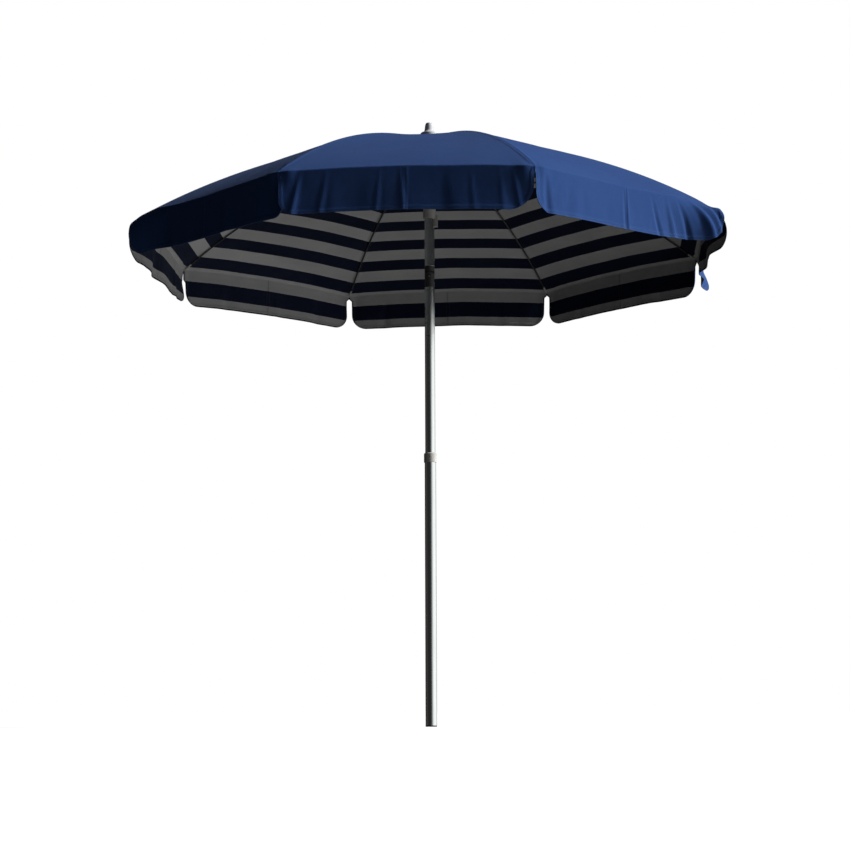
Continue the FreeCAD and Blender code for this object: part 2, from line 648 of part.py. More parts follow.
def draw_rib_tip():
    """A cap pushed over the rib's outer end, with a round nose."""
    middle = "rib_end_angle + tip_length / 2 / rib_bend * 1 rad"

    def seated(item, ahead):
        shift = f"placement(vector({ahead}; 0; 0); {ALONG_X})"
        item.setExpression("Placement", on_rib(middle) + bound(f" * {shift}"))
        return item

    shell = doc.addObject("Part::Cylinder", "TipShell")
    bind(shell, Radius="tip_radius", Height="tip_length + tip_wall")
    seated(shell, "-tip_length / 2")
    nose = doc.addObject("Part::Sphere", "TipNose")
    bind(nose, Radius="tip_radius")
    seated(nose, "tip_length / 2 + tip_wall")
    bore = doc.addObject("Part::Cylinder", "TipBore")
    bind(bore, Radius="rib_radius + sleeve_gap", Height="tip_length + margin + sleeve_gap")
    seated(bore, "-tip_length / 2 - margin")
    return cut("RibTipMaster", fuse("TipSolid", shell, nose), bore)


def draw_rib_clip():
    """The clip that carries the stretcher: a block on the rib, two cheeks and a rivet."""
    at_clip = on_rib("clip_angle")

    def seated(item, x, y, z, turn="rotation(vector(0; 0; 1); 0)"):
        item.setExpression(
            "Placement", at_clip + bound(f" * placement(vector({x}; {y}; {z}); {turn})"))
        return item

    block = doc.addObject("Part::Box", "ClipBlock")
    bind(block, Length="clip_length", Width="clip_width", Height="clip_up + clip_down")
    seated(block, "-clip_length / 2", "-clip_width / 2", "-clip_down")
    cheek_depth = "hinge_drop - clip_down + cheek_lap"
    cheeks = []
    inside = "eye_thick / 2 + hinge_gap"
    for side, low in (("Front", f"-({inside}) - cheek_thick"), ("Back", inside)):
        plate = doc.addObject("Part::Box", f"Cheek{side}")
        bind(plate, Length="2 * eye_radius", Width="cheek_thick", Height=cheek_depth)
        seated(plate, "-eye_radius", low, "-hinge_drop")
        end = doc.addObject("Part::Cylinder", f"CheekEnd{side}")
        bind(end, Radius="eye_radius", Height="cheek_thick")
        seated(end, 0, low, "-hinge_drop", ALONG_Y)
        cheeks += [plate, end]
    rivet = doc.addObject("Part::Cylinder", "ClipRivet")
    bind(rivet, Radius="rivet_radius", Height="2 * rivet_half")
    seated(rivet, 0, "-rivet_half", "-hinge_drop", ALONG_Y)
    solid = fuse("ClipSolid", block, *cheeks, rivet)
    bore = doc.addObject("Part::Cylinder", "ClipBore")
    bind(bore, Radius="rib_radius + sleeve_gap", Height="clip_length + 2 * margin")
    seated(bore, "-clip_length / 2 - margin", 0, 0, ALONG_X)
    return cut("RibClipMaster", solid, bore)


def draw_stretcher():
    """A flat bar with round ends, from the rivet on the rib to the runner's pivot, grooved
    along its underside."""
    along = "rotation(vector(0; 1; 0); -stretcher_fall)"
    seat = f"placement(vector(rib_pivot_radius; 0; runner_pivot_height); {along})"

    def seated(item, x, y, z, turn="rotation(vector(0; 0; 1); 0)"):
        item.setExpression(
            "Placement", bound(f"{seat} * placement(vector({x}; {y}; {z}); {turn})"))
        return item

    bar = doc.addObject("Part::Box", "StretcherBar")
    bind(bar, Length="stretcher_length", Width="eye_thick", Height="2 * stretcher_half")
    seated(bar, 0, "-eye_thick / 2", "-stretcher_half")
    ends = []
    holes = []
    for side, x, hole_radius in (("Runner", 0, "eye_hole"),
                                 ("Rib", "stretcher_length", "rivet_radius + pin_gap")):
        end = doc.addObject("Part::Cylinder", f"StretcherEnd{side}")
        bind(end, Radius="stretcher_half", Height="eye_thick")
        ends.append(seated(end, x, "-eye_thick / 2", 0, ALONG_Y))
        hole = doc.addObject("Part::Cylinder", f"StretcherHole{side}")
        bind(hole, Radius=hole_radius, Height="2 * eye_thick")
        holes.append(seated(hole, x, "-eye_thick", 0, ALONG_Y))
    groove = doc.addObject("Part::Box", "StretcherGroove")
    bind(groove, Length="stretcher_length - 2 * groove_inset", Width="groove_width",
         Height="groove_deep + margin")
    seated(groove, "groove_inset", "-groove_width / 2", "-stretcher_half - margin")
    solid = fuse("StretcherSolid", bar, *ends)
    tools = fuse("StretcherTools", groove, *holes)
    return cut("StretcherMaster", solid, tools)


# ---------------------------------------------------------------- canopy cloth


def draw_canopy_section():
    """The cloth that one rib carries, from the middle of the panel on its one side to the
    middle of the panel on its other side. A panel is a piece of a cylinder whose axis lies
    across the panel, and the valance hangs from its rim with a cut corner at the rib."""
    spin = "rotation(vector(0; 0; 1); half_gore)"
    half_width = "rim_reach / 2"

    def in_panel(item, x, y, z, turn="rotation(vector(0; 0; 1); 0)"):
        item.setExpression("Placement", bound(
            f"placement(vector(0; 0; 0); {spin}) * placement(vector({x}; {y}; {z}); {turn})"))
        return item

    skins = []
    for side, radius in (("Out", "cloth_bend + cloth_thick / 2"),
                         ("In", "cloth_bend - cloth_thick / 2")):
        skin = doc.addObject("Part::Cylinder", f"Skin{side}")
        bind(skin, Radius=radius, Height=f"2 * {half_width}")
        skins.append(in_panel(skin, "cloth_centre_x", f"-{half_width}", "cloth_centre_z", ALONG_Y))
    shell = cut("PanelShell", *skins)
    region = doc.addObject("Part::Box", "PanelRegion")
    bind(region, Length="rim_middle", Width=f"2 * {half_width}",
         Height="cloth_top - rim_height + cloth_rise + cloth_thick")
    in_panel(region, 0, f"-{half_width}", "rim_height - cloth_thick")
    panel = common("Panel", shell, region)
    valance = doc.addObject("Part::Box", "Valance")
    bind(valance, Length="cloth_thick", Width=f"2 * {half_width}", Height="valance_drop")
    in_panel(valance, "rim_middle - cloth_thick", f"-{half_width}", "rim_height - valance_drop")
    cloth = fuse("PanelCloth", panel, valance)
    corner = doc.addObject("Part::Box", "CornerCutter")
    side = "corner_cut * sqrt(2)"
    bind(corner, Length="20 * cloth_thick", Width=side, Height=side)
    in_panel(corner, "rim_middle - 10 * cloth_thick", "-rim_reach * sin(half_gore)",
             "rim_height - valance_drop - corner_cut", "rotation(vector(1; 0; 0); 45)")
    trimmed = cut("PanelTrimmed", cloth, corner)
    slice_of_pie = cylinder("RibToMiddle", "rim_reach + margin", "rim_height", 0, 0,
                            "rim_height - valance_drop - margin", angle="half_gore - seam_angle * 1 deg")
    half = common("HalfSection", trimmed, slice_of_pie)
    hub = cylinder("CrownOpening", "cloth_inner", "cloth_top", 0, 0, "rim_height")
    opened = cut("HalfSectionOpened", half, hub)
    mirror = doc.addObject("Part::Mirroring", "OtherHalf")
    mirror.Source = opened
    mirror.Base = FreeCAD.Vector(0, 0, 0)
    mirror.Normal = FreeCAD.Vector(0, 1, 0)
    return fuse("CanopySectionMaster", opened, mirror)


def place_at_every_rib(master, label):
    for number in range(1, int(value("rib_count")) + 1):
        copy = doc.addObject("Part::Compound", f"{master.Name}_{number}")
        copy.Links = [master]
        place(copy, turn=f"rotation(vector(0; 0; 1); {2 * number - 1} * half_gore)")
        sub_part(copy, f"{label}_{number}")


make_lower_pole()
make_guide_bush()
make_clamp_collar()
make_upper_pole()
make_tilt_fork()
make_tilt_button()
make_tilt_tongue()
make_canopy_pole()
make_crown()
make_crown_patch()
make_finial()
make_runner()
make_latch_lever()
place_at_every_rib(draw_rib(), "rib")
place_at_every_rib(draw_rib_tip(), "rib_tip")
place_at_every_rib(draw_rib_clip(), "rib_clip")
place_at_every_rib(draw_stretcher(), "stretcher")
place_at_every_rib(draw_canopy_section(), "canopy_section")
doc.recompute()

# ---------------------------------------------------------------- checks and files

for item in doc.Objects:
    bad = [state for state in item.State if state in ("Invalid", "Error")]
    if bad:
        raise RuntimeError(f"{item.Name} is {bad}")
os.makedirs("parts", exist_ok=True)
for item in SUB_PARTS:
    shape = item.Shape
    if shape.isNull() or not shape.isValid() or not shape.Solids:
        raise RuntimeError(f"{item.Label} has no valid solid")
    shape.exportStep(f"parts/{item.Label}.step")
    print(f"{item.Label:20s} solids {len(shape.Solids)}  volume {shape.Volume:12.1f}")
for name in ("hinge_x", "hinge_z", "runner_pivot_height", "stretcher_length", "stretcher_fall",
             "rib_fall", "rib_bend"):
    print(name, getattr(layout, name))
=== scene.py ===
import math

import bmesh
import bpy
import numpy as np
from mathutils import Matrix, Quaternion, Vector


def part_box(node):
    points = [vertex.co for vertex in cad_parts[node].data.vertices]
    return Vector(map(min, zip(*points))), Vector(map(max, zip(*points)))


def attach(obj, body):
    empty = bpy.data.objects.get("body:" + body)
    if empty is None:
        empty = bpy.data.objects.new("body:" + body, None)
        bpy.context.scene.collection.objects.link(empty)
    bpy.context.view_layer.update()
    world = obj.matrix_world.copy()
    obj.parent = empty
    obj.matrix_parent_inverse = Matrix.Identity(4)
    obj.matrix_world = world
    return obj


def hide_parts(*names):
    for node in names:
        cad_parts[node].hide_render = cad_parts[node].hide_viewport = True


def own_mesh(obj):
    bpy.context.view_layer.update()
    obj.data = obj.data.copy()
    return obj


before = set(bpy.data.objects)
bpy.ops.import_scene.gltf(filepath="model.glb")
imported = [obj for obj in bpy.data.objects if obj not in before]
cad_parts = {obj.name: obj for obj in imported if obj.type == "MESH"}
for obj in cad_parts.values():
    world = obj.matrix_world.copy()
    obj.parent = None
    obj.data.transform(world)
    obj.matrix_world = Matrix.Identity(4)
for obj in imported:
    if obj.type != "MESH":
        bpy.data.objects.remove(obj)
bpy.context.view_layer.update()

# ---------------------------------------------------------------- measures of the canopy
# A panel is the cloth between two ribs. Panel j faces azimuth 45 j degrees, and rib k stands
# at 22.5 + 45 (k - 1) degrees. A section is the cloth that one rib carries: half of the
# panel on its one side and half of the panel on its other side.

HALF = math.pi / 8
VALANCE = 0.134  # height of the hanging valance
RISE = 0.059  # rise of a panel's middle line above its chord
CLOTH = 0.0010  # thickness of the cloth
BAND = 0.012  # width of hems and seams
SEWN = 0.0006  # how much thicker each face of the cloth is at a hem or seam
THREAD = 0.0013  # pitch of the weave
STITCH = 0.0042  # pitch of the stitches
STRIPE = 0.0571  # width of a stripe inside
STRIPE_START = 0.0424  # distance below the rim at which a dark stripe starts

section_low, section_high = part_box("canopy_section_1")
RIM = section_high.x  # distance of a panel's straight rim from the pole's axis
RIM_Z = section_low.z + VALANCE
TOP_Z = section_high.z - CLOTH / 2
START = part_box("crown_ring")[1].x * math.cos(HALF)

fall = math.atan((TOP_Z - RIM_Z) / (RIM - START))
chord = (RIM - START) / math.cos(fall)
bend = (chord**2 / 4 + RISE**2) / (2 * RISE)
arc_x = (START + RIM) / 2 - math.sin(fall) * (bend - RISE)
arc_z = (TOP_Z + RIM_Z) / 2 - math.cos(fall) * (bend - RISE)


def smooth(t):
    t = np.clip(t, 0, 1)
    return t * t * (3 - 2 * t)


def wave(y, seed, lengths):
    """A smooth, repeatable unevenness along y: the sum of a few waves of given lengths."""
    rng = np.random.default_rng(seed)
    total = np.zeros_like(y)
    for length in lengths:
        total = total + rng.uniform(0.6, 1.0) * np.sin(
            2 * math.pi * y / length + rng.uniform(0, 2 * math.pi))
    return total / len(lengths)


# Folds of the hanging valance, by panel: place at the rim and at the hem from -1 to 1 across
# the panel, half width and height in millimetres.
FOLDS = {
    6: [(-0.815, -0.89, 12, 3.6), (-0.61, -0.67, 12, 1.9), (-0.20, -0.23, 10, 1.4),
        (-0.045, -0.02, 10, 2.4), (0.28, 0.30, 22, -1.5), (0.50, 0.53, 12, 1.1), (0.72, 0.76, 12, 1.3),
        (0.82, 0.89, 10, 2.6)],
    7: [(-0.03, -0.02, 9, -3.5), (0.28, 0.38, 10, -4), (0.46, 0.54, 12, 3.5), (0.58, 0.70, 11, -5),
        (0.72, 0.90, 14, 8), (0.86, 1.02, 13, -9), (-0.55, -0.57, 30, 2), (-0.90, -0.86, 14, -4)],
    5: [(-0.45, -0.42, 30, 3), (0.30, 0.32, 35, 3)],
    4: [(0.10, 0.12, 75, 14), (-0.62, -0.66, 22, -5)],
    3: [(-0.60, -0.62, 26, 3), (-0.10, -0.10, 20, -2), (0.45, 0.48, 24, 3)],
    2: [(-0.50, -0.52, 26, 2.5), (0.15, 0.16, 22, -2), (0.62, 0.64, 22, 3)],
    1: [(-0.55, -0.50, 22, 3), (0.05, 0.05, 20, -2), (0.50, 0.56, 20, 3)],
    0: [(0.10, 0.15, 70, -18)],
}
# How far the valance's corner at each end of a panel swings outwards, in millimetres.
CURLS = {6: (5, -12), 7: (-6, 50), 0: (41, 38), 1: (-5, -7), 2: (-4, -9), 3: (-9, -5),
         4: (-14, 12), 5: (16, -16)}
# How far the cloth stands out half-way down the valance at each end, in millimetres.
BULGES = {6: (0, 0), 7: (0, 34), 0: (25, 4), 1: (0, 0), 2: (0, 0), 3: (0, 0), 4: (6, 20), 5: (30, -7)}
# The notch at each end of a valance: how far its edge stands back from the rib's plane, the
# rounding of its lower corner and how far below the rim it opens, in millimetres.
NOTCHES = {6: ((2, 45, 11), (3, 80, 11)), 7: ((2, 60, 11), (3, 50, 11)), 0: ((2, 50, 11), (1, 60, 16)),
           1: ((8, 55, 16), (11, 55, 11)), 2: ((11, 55, 11), (11, 55, 11)),
           3: ((11, 55, 11), (9, 50, 38)), 4: ((9, 60, 38), (9, 55, 11)), 5: ((9, 55, 11), (-9, 40, 5))}
# How far a panel's middle and its rim's middle stand above the straight lines between its
# ribs, and the height of a hump beside its left or right end, in millimetres.
LIFTS = {0: 4, 1: 4, 2: 0, 3: 4, 4: 4, 5: 0, 6: -10, 7: 0}
BOWS = {0: 12, 1: 12, 2: 12, 3: 12, 4: 12, 5: 0, 6: 10, 7: 0}
HUMPS = {5: (-0.76, 18), 7: (0.76, 9)}


def edge_inset(j, s, side):
    """How far the valance's edge stands back from the rib's plane at an end of panel j."""
    notch, corner, start = (size / 1000 for size in NOTCHES[j][0 if side < 0 else 1])
    drop = np.clip(s, 0, None)
    low = np.clip((drop - (VALANCE - corner)) / corner, 0, 1)
    rounding = corner * (1 - np.sqrt(np.clip(1 - low**2, 0, 1)))
    return notch * smooth((drop - start) / 0.012) + 0.004 * drop / VALANCE + rounding


def panel_point(j, s, y):
    """Points of panel j. s runs down the cloth from the rim, negative on the panel itself, and
    y is the distance across from the panel's middle line."""
    drop = np.clip(s, 0, None)
    along = arc_turn(s)
    x = arc_x + bend * np.sin(along)
    z = arc_z + bend * np.cos(along)
    x = np.where(s > 0, RIM, x)
    w = y / (x * math.tan(HALF))
    u = np.clip((x - START) / (RIM - START), 0, 1)
    middle = np.clip(1 - w**2, 0, 1)
    z = z + (LIFTS[j] / 1000 * np.sin(math.pi * u) + BOWS[j] / 1000 * u**2) * middle
    if j in HUMPS:
        at, height = HUMPS[j]
        z = z + height / 1000 * np.exp(-(((w - at) / 0.30) ** 2)) * u**4 * np.sqrt(middle)
    z = z + 0.0012 * wave(w + 0.6 * u, 40 + j, (0.55, 0.83, 1.3)) * np.sqrt(middle) * u
    # the valance's own folds, which grow towards the hem
    t = drop / VALANCE
    hang = smooth(drop / 0.012)
    grow = smooth(t * 1.2)
    out = 0.0018 * wave(y, 10 + j, (0.19, 0.31, 0.13)) * grow
    out = out + 0.0004 * wave(y, 20 + j, (0.055, 0.08)) * grow
    reach = RIM * math.tan(HALF)
    for at_rim, at_hem, width, height in FOLDS[j]:
        line = (at_rim + (at_hem - at_rim) * t) * reach
        d = (y - line) / (width / 1000 * (0.7 + 0.5 * t))
        out = out + height / 1000 * (1 - 1.2 * d**2) * np.exp(-d**2) * smooth(t * 1.1 + 0.08) * hang
    for side, curl, bulge in zip((-1, 1), CURLS[j], BULGES[j]):
        near = smooth(1 - (reach - side * y) / 0.15)
        out = out + curl / 1000 * near * smooth(t)
        wide = smooth(1 - (reach - side * y) / 0.22)
        out = out + bulge / 1000 * wide * np.sin(math.pi * np.clip(t, 0, 1) ** 0.8)
    out = out + 0.004 * t * middle
    # cloth that swings out also rises
    z = z - drop + out**2 / (2 * np.clip(drop, 0.04, None)) * (drop > 0)
    # the cloth is drawn in towards the rib's tip just beside it
    beside = reach - np.abs(y) * np.where(s > 0, 1, RIM / x)
    pull = np.exp(-((beside / 0.05) ** 2)) * np.exp(-((s / 0.035) ** 2))
    x = x + out - 0.004 * pull * np.cos(beside / 0.012)
    azimuth = j * math.pi / 4
    c, n = math.cos(azimuth), math.sin(azimuth)
    return np.stack([x * c - y * n, x * n + y * c, z], -1)


def panel_normal(j, s, y):
    step = 0.0008
    down = panel_point(j, s + step, y) - panel_point(j, s - step, y)
    across = panel_point(j, s, y + step) - panel_point(j, s, y - step)
    normal = np.cross(across, down)
    return normal / (np.linalg.norm(normal, axis=2, keepdims=True) + 1e-12)


turn_start = math.asin((START - arc_x) / bend)
turn_end = math.asin((RIM - arc_x) / bend)
PANEL = bend * (turn_end - turn_start)  # length of a panel's middle line


def arc_turn(s):
    return turn_end + np.clip(s, -PANEL, 0) / bend


def cloth_rows(corner):
    """Distances down the cloth at which the mesh has a row, closer together at folds, at the
    valance's rounded corner and at the hem."""
    panel = -PANEL + PANEL * np.linspace(0, 1, 49)[:-1] ** 0.92
    panel = panel[panel < -0.020]
    fold = [-0.016, -0.011, -0.007, -0.004, -0.0015, 0.0015, 0.004, 0.007, 0.011, 0.016]
    hang = np.linspace(0.022, VALANCE - corner, 16)
    angle = np.linspace(0, math.pi / 2, 22)[1:]
    turn = VALANCE - corner + corner * np.sin(angle)
    turn = turn[turn < VALANCE - BAND - 0.002]
    hem = VALANCE - np.array([BAND + 0.0012, BAND, BAND * 0.66, BAND * 0.4, 0.0035, 0.002, 0.001,
                              0.0004, 0.0001, 0.0])
    return np.concatenate([panel, fold, hang, turn, hem])


def cloth_columns(half_width):
    """Distances from the rib at which the mesh has a column: the seam's band, then the rest."""
    band = np.minimum(BAND, 0.4 * half_width)
    inner = np.array([0, 0.0625, 0.35, 0.65, 0.97, 1.08])
    rest = np.linspace(0, 1, 83)[1:]
    first = band[:, None] * inner
    start = band * 1.08
    return np.concatenate([first, start[:, None] + (half_width - start)[:, None] * rest], 1)


def sheet_patch(middle, normal, out_by, in_by, pairs):
    """A closed sheet round a grid of middle points: the outside lies out_by from them and the
    inside in_by. pairs are two-number layers for the materials. The outside faces away from
    the point on the pole's axis below the canopy."""
    rows, columns = middle.shape[:2]
    centre = middle[rows // 2, columns // 2]
    if normal[rows // 2, columns // 2] @ (centre - np.array([0, 0, 1.2])) < 0:
        normal = -normal
    outside = middle + normal * out_by[..., None]
    inside = middle - normal * in_by[..., None]
    vertices = np.concatenate([outside.reshape(-1, 3), inside.reshape(-1, 3)])
    count = rows * columns
    index = np.arange(count).reshape(rows, columns)
    a, b = index[:-1, :-1].ravel(), index[:-1, 1:].ravel()
    c, d = index[1:, 1:].ravel(), index[1:, :-1].ravel()
    top = np.stack([a, b, c, d], 1)
    under = np.stack([d, c, b, a], 1) + count
    ring = np.concatenate([index[0, :], index[1:, -1], index[-1, -2::-1], index[-2:0:-1, 0]])
    after = np.roll(ring, -1)
    wall = np.stack([after, ring, ring + count, after + count], 1)
    one = top[len(top) // 2]
    p = vertices[one]
    if np.cross(p[1] - p[0], p[2] - p[0]) @ normal.reshape(-1, 3)[one[0]] < 0:
        top, under, wall = top[:, ::-1], under[:, ::-1], wall[:, ::-1]
    slots = np.repeat([0, 1, 0], [len(top), len(under), len(wall)])
    border = np.concatenate([np.stack([ring, after], 1), np.stack([ring, after], 1) + count])
    layers = [np.concatenate([pair.reshape(-1, 2)] * 2) for pair in pairs]
    return vertices, np.concatenate([top, under, wall]), slots, border, layers


def sheet_object(name, patches, layer_names):
    """One object from several patches of sheet, with sharp edges round each patch."""
    shift = np.cumsum([0] + [len(p[0]) for p in patches])
    vertices = np.concatenate([p[0] for p in patches])
    faces = np.concatenate([p[1] + base for p, base in zip(patches, shift)])
    border = np.concatenate([p[3] + base for p, base in zip(patches, shift)])
    mesh = bpy.data.meshes.new(name)
    mesh.from_pydata(vertices.tolist(), [], faces.tolist())
    slots = np.concatenate([p[2] for p in patches]).astype(np.int32)
    mesh.polygons.foreach_set("material_index", slots)
    mesh.polygons.foreach_set("use_smooth", np.ones(len(faces), bool))
    loops = np.zeros(len(mesh.loops), np.int32)
    mesh.loops.foreach_get("vertex_index", loops)
    for number, layer in enumerate(layer_names):
        flat = np.concatenate([p[4][number] for p in patches])
        mesh.uv_layers.new(name=layer).data.foreach_set("uv", flat[loops].astype(np.float32).ravel())
    wanted = {(min(e), max(e)) for e in border.tolist()}
    edges = np.zeros(len(mesh.edges) * 2, np.int32)
    mesh.edges.foreach_get("vertices", edges)
    sharp = np.array([(min(e), max(e)) in wanted for e in edges.reshape(-1, 2).tolist()])
    mesh.attributes.new("sharp_edge", "BOOLEAN", "EDGE").data.foreach_set("value", sharp)
    mesh.update()
    obj = bpy.data.objects.new(name, mesh)
    bpy.context.scene.collection.objects.link(obj)
    return obj


def section_halves(k):
    """The cloth that rib k carries, as the halves on the rib's two sides: points, normals,
    distance down from the rim, place across the panel and distance from the rib."""
    halves = []
    for side in (-1, 1):
        panel = ((2 * (k - 1) + 1 + side) // 2) % 8
        s = cloth_rows(NOTCHES[panel][0 if side > 0 else 1][1] / 1000)
        x = np.where(s > 0, RIM, arc_x + bend * np.sin(arc_turn(s)))
        half_width = x * math.tan(HALF)
        away = cloth_columns(half_width)
        down = np.repeat(s[:, None], away.shape[1], 1)
        edge = half_width - np.where(s > 0, edge_inset(panel, s, -side), 0)
        y = -side * (1 - away / half_width[:, None]) * edge[:, None]
        halves.append((panel_point(panel, down, y), panel_normal(panel, down, y), down, y, away))
    return halves


# ---------------------------------------------------------------- materials


class Nodes:
    """Short names for making shader nodes."""

    def __init__(self, name):
        self.material = bpy.data.materials.new(name)
        self.material.use_nodes = True
        self.tree = self.material.node_tree
        self.shader = self.tree.nodes["Principled BSDF"]

    def set(self, **values):
        for key, value in values.items():
            self.shader.inputs[key.replace("_", " ")].default_value = value
        return self

    def link(self, source, target):
        if isinstance(source, (int, float)):
            target.default_value = source
        elif isinstance(source, tuple):
            target.default_value = (*source, 1)
        else:
            self.tree.links.new(source, target)

    def math(self, operation, *inputs):
        node = self.tree.nodes.new("ShaderNodeMath")
        node.operation = operation
        for i, item in enumerate(inputs):
            self.link(item, node.inputs[i])
        return node.outputs[0]

    def uv(self, layer):
        node = self.tree.nodes.new("ShaderNodeUVMap")
        node.uv_map = layer
        split = self.tree.nodes.new("ShaderNodeSeparateXYZ")
        self.tree.links.new(node.outputs[0], split.inputs[0])
        return split.outputs[0], split.outputs[1]

    def place(self):
        return self.tree.nodes.new("ShaderNodeTexCoord").outputs["Object"]

    def noise(self, scale, detail=3, roughness=0.5, stretch=None, where=None):
        node = self.tree.nodes.new("ShaderNodeTexNoise")
        node.inputs["Scale"].default_value = scale
        node.inputs["Detail"].default_value = detail
        node.inputs["Roughness"].default_value = roughness
        source = where or self.place()
        if stretch:
            mapping = self.tree.nodes.new("ShaderNodeMapping")
            mapping.inputs["Scale"].default_value = stretch
            self.tree.links.new(source, mapping.inputs["Vector"])
            source = mapping.outputs[0]
        self.tree.links.new(source, node.inputs["Vector"])
        return node.outputs["Fac"]

    def ramp(self, source, *stops):
        node = self.tree.nodes.new("ShaderNodeValToRGB")
        elements = node.color_ramp.elements
        while len(elements) < len(stops):
            elements.new(0.5)
        for element, (position, colour) in zip(elements, stops):
            element.position = position
            element.color = (*colour, 1) if isinstance(colour, tuple) else (colour,) * 3 + (1,)
        self.link(source, node.inputs[0])
        return node.outputs[0]

    def mix(self, factor, one, two):
        node = self.tree.nodes.new("ShaderNodeMix")
        node.data_type = "RGBA"
        self.link(factor, node.inputs[0])
        self.link(one, node.inputs[6])
        self.link(two, node.inputs[7])
        return node.outputs[2]

    def between(self, source, low, high):
        above = self.math("GREATER_THAN", source, low)
        below = self.math("LESS_THAN", source, high)
        return self.math("MULTIPLY", above, below)

    def bump(self, height, distance, strength=1.0, before=None):
        node = self.tree.nodes.new("ShaderNodeBump")
        node.inputs["Strength"].default_value = strength
        node.inputs["Distance"].default_value = distance
        self.link(height, node.inputs["Height"])
        if before:
            self.tree.links.new(before, node.inputs["Normal"])
        return node.outputs[0]

    def to(self, socket, source):
        self.link(source, self.shader.inputs[socket])
        return self


def cloth_base(name, roughness):
    """The parts that both faces of the cloth share: weave, stitches and the seams' grooves, whose mask
    also paints shade into the colour.
    """
    n = Nodes(name)
    across, down = n.uv("cloth")
    away, edge = n.uv("cut")
    turn = 2 * math.pi / THREAD
    warp = n.math("SINE", n.math("MULTIPLY", across, turn))
    weft = n.math("SINE", n.math("MULTIPLY", down, turn))
    weave = n.math("MULTIPLY", warp, weft)
    slub = n.noise(900, 2, 0.6, stretch=(1, 1, 0.15))
    weave = n.math("ADD", n.math("MULTIPLY", weave, 0.5), slub)
    running = n.math("FRACT", n.math("DIVIDE", n.math("ADD", across, down), STITCH))
    dash = n.between(running, 0.16, 0.84)
    on_panel = n.math("LESS_THAN", down, -0.012)
    on_valance = n.math("GREATER_THAN", down, 0.004)
    rib_line = n.between(away, 0.0085, 0.0096)
    rib_line = n.math("MULTIPLY", rib_line, on_panel)
    hem_line = n.math("MULTIPLY", n.between(edge, 0.0085, 0.0096), on_valance)
    seam = n.math("ABSOLUTE", across)
    seam_line = n.math("MULTIPLY", n.between(seam, 0.0052, 0.0062), on_valance)
    stitch = n.math("MAXIMUM", n.math("MAXIMUM", rib_line, hem_line), seam_line)
    stitch = n.math("MULTIPLY", stitch, dash)
    fold_line = n.math("LESS_THAN", n.math("ABSOLUTE", down), 0.0012)
    # the gap at the valance's middle join and the gap beside the rib: a groove in the bump, and painted
    # shade where the colour is darkened along it
    gap_line = n.math("MULTIPLY", n.math("LESS_THAN", seam, 0.0006), on_valance)
    rib_gap = n.math("MULTIPLY", n.math("LESS_THAN", away, 0.0007), on_panel)
    groove_and_shade = n.math("MAXIMUM", gap_line, rib_gap)
    fibre = n.noise(7.0, 5, 0.6)
    faded = n.noise(1.6, 3, 0.5)
    height = n.math("SUBTRACT", stitch, groove_and_shade)
    height = n.math("ADD", height, n.math("MULTIPLY", fold_line, 0.2))
    creases = n.bump(n.noise(26, 4, 0.55), 0.0016, 0.55)
    sewn = n.bump(height, 0.0006, 0.9, creases)
    n.to("Normal", n.bump(weave, 0.00022, 0.7, sewn))
    n.set(Roughness=roughness)
    return n, across, down, away, edge, stitch, groove_and_shade, fibre, faded


def make_navy():
    n, across, down, away, edge, stitch, groove_and_shade, fibre, faded = cloth_base("canopy_outside", 0.62)
    body = n.mix(n.ramp(faded, (0.3, 0.0), (0.7, 1.0)), (0.0215, 0.052, 0.162), (0.0245, 0.058, 0.177))
    body = n.mix(n.ramp(fibre, (0.42, 0.0), (0.66, 0.35)), body, (0.030, 0.066, 0.186))
    worn = n.ramp(edge, (0.0, 0.55), (0.006, 0.0))
    body = n.mix(worn, body, (0.045, 0.09, 0.22))
    body = n.mix(stitch, body, (0.05, 0.10, 0.26))
    # painted shade: the grooves are coloured near-black navy
    body = n.mix(groove_and_shade, body, (0.004, 0.010, 0.035))
    n.to("Base Color", body)
    n.to("Roughness", n.ramp(fibre, (0.3, 0.56), (0.7, 0.70)))
    n.set(Specular_IOR_Level=0.07, Sheen_Weight=0.03, Sheen_Roughness=0.45)
    n.shader.inputs["Sheen Tint"].default_value = (0.75, 0.85, 1.0, 1)
    return n.material


def make_cap_cloth():
    """The outside cloth without seams, with a round line of stitches near its edge."""
    n = Nodes("cap_cloth")
    split = n.tree.nodes.new("ShaderNodeSeparateXYZ")
    n.tree.links.new(n.place(), split.inputs[0])
    x, y = split.outputs[0], split.outputs[1]
    turn = 2 * math.pi / THREAD
    weave = n.math("MULTIPLY", n.math("SINE", n.math("MULTIPLY", x, turn)),
                   n.math("SINE", n.math("MULTIPLY", y, turn)))
    away = n.math("SQRT", n.math("ADD", n.math("MULTIPLY", x, x), n.math("MULTIPLY", y, y)))
    angle = n.math("MULTIPLY", n.math("ARCTAN2", y, x), 84 / (2 * math.pi))
    dash = n.between(n.math("FRACT", angle), 0.16, 0.84)
    stitch = n.math("MULTIPLY", n.between(away, 0.0525, 0.0536), dash)
    fibre = n.noise(60, 5, 0.6)
    body = n.mix(n.ramp(fibre, (0.4, 0.0), (0.66, 0.5)), (0.0195, 0.049, 0.163), (0.030, 0.066, 0.186))
    body = n.mix(stitch, body, (0.05, 0.10, 0.26))
    n.to("Base Color", body)
    sewn = n.bump(stitch, 0.0006, 0.9, n.bump(n.noise(70, 4, 0.55), 0.0010, 0.5))
    n.to("Normal", n.bump(weave, 0.00022, 0.7, sewn))
    n.to("Roughness", n.ramp(fibre, (0.3, 0.58), (0.7, 0.70)))
    n.set(Specular_IOR_Level=0.07, Sheen_Weight=0.03, Sheen_Roughness=0.45)
    return n.material


